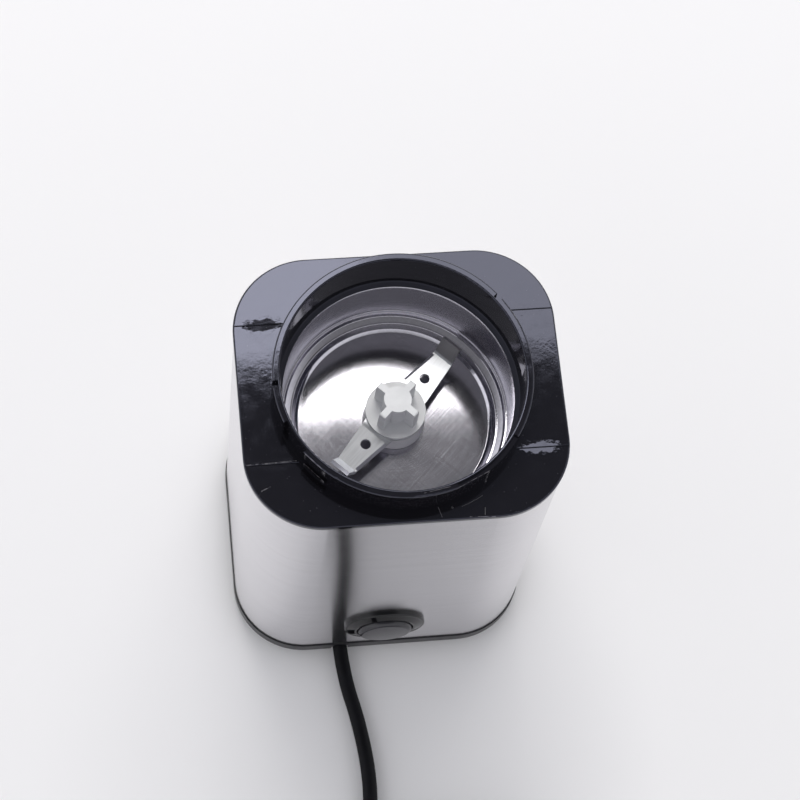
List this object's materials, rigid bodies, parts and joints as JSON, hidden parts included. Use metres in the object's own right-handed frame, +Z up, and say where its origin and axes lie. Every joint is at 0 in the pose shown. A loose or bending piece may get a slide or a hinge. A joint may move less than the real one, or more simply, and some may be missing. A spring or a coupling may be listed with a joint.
{
  "type": "electric coffee grinder",
  "caption": "Blade coffee grinder with a steel-wrapped rounded square body, black top with a raised neck, steel bowl, two-arm blade, front push button and a coiled cord.",
  "frame": {"origin": "centre of the body's footprint, the button included, on the surface that the feet stand on; the blade's shaft stands 2 mm behind it", "axes": "+Z up along the shaft, -Y to the front with the button, +X to the right seen from the front"},
  "size_m": [0.1031, 0.2998, 0.1505],
  "materials": {
    "cover_black": "glossy",
    "sleeve_steel": "brushed",
    "base_black": "satin",
    "rubber_black": "matte",
    "screw_steel": "plain",
    "inner_plastic": "matte",
    "bowl_steel": "polished",
    "hub_white": "matte",
    "blade_steel": "polished",
    "lamination": "plain",
    "copper": "lacquered",
    "bracket_alloy": "cast",
    "brass": "plain",
    "carbon": "matte",
    "button_black": "glossy",
    "switch_plastic": "matte",
    "suppressor_yellow": "matte",
    "cord_black": "satin"
  },
  "bodies": {
    "housing": {"top_cover": "cover_black", "outer_sleeve": "sleeve_steel", "base_plate": "base_black", "feet": "rubber_black", "tie_screws": "screw_steel", "motor_carrier": "inner_plastic", "bowl": "bowl_steel", "bowl_seal": "rubber_black", "bowl_support": "inner_plastic", "shaft_seal": "rubber_black", "stator_core": "lamination", "field_coils": "copper", "lower_bracket": "bracket_alloy", "upper_bracket": "bracket_alloy", "lower_bearing": "screw_steel", "upper_bearing": "screw_steel", "brush_tubes": "brass", "carbon_brushes": "carbon", "motor_bolts": "screw_steel", "motor_nuts": "screw_steel", "motor_mounts": "rubber_black", "button_bezel": "button_black", "bezel_clip": "screw_steel", "button_spring": "screw_steel", "switch_bracket": "inner_plastic", "bracket_screws": "screw_steel", "switch_body": "switch_plastic", "suppressor": "suppressor_yellow", "strain_relief": "rubber_black", "cord_inner": "cord_black", "cord_clamp": "inner_plastic", "clamp_screws": "screw_steel", "cord": "cord_black", "cord_coil": "cord_black", "cord_tie": "cord_black", "cord_tail": "cord_black", "plug_body": "cord_black", "plug_pins": "brass"},
    "rotor": {"motor_shaft": "screw_steel", "blade_carrier": "hub_white", "blade": "blade_steel", "blade_knob": "hub_white", "rotor_core": "lamination", "rotor_winding": "copper", "commutator": "copper", "cooling_fan": "inner_plastic"},
    "button": {"button": "button_black"},
    "switch_lever": {"switch_lever": "screw_steel"},
    "switch_plunger": {"switch_plunger": "hub_white"}
  },
  "joints": [
    {"name": "shaft_spin", "type": "hinge", "parent": "housing", "child": "rotor", "pos_m": [0, 0.002, 0.1], "axis": [0, 0, 1], "continuous": true},
    {"name": "button_press", "type": "slide", "parent": "housing", "child": "button", "axis": [0, 1, 0], "range_m": [0, 0.003], "stiffness_N_per_m": 600, "springref_m": -0.001, "deforming": ["button_spring"]},
    {"name": "lever_swing", "type": "hinge", "parent": "housing", "child": "switch_lever", "pos_m": [-0.0172, -0.02026, 0.0304], "axis": [0, 0, 1], "range_deg": [0, 10.8]},
    {"name": "plunger_slide", "type": "slide", "parent": "housing", "child": "switch_plunger", "axis": [0, 1, 0], "range_m": [0, 0.00095]}
  ],
  "couplings": [
    {"joint": "lever_swing", "follows": "button_press", "rad_per_m": 62.5},
    {"joint": "plunger_slide", "follows": "button_press", "ratio": 0.3125}
  ]
}
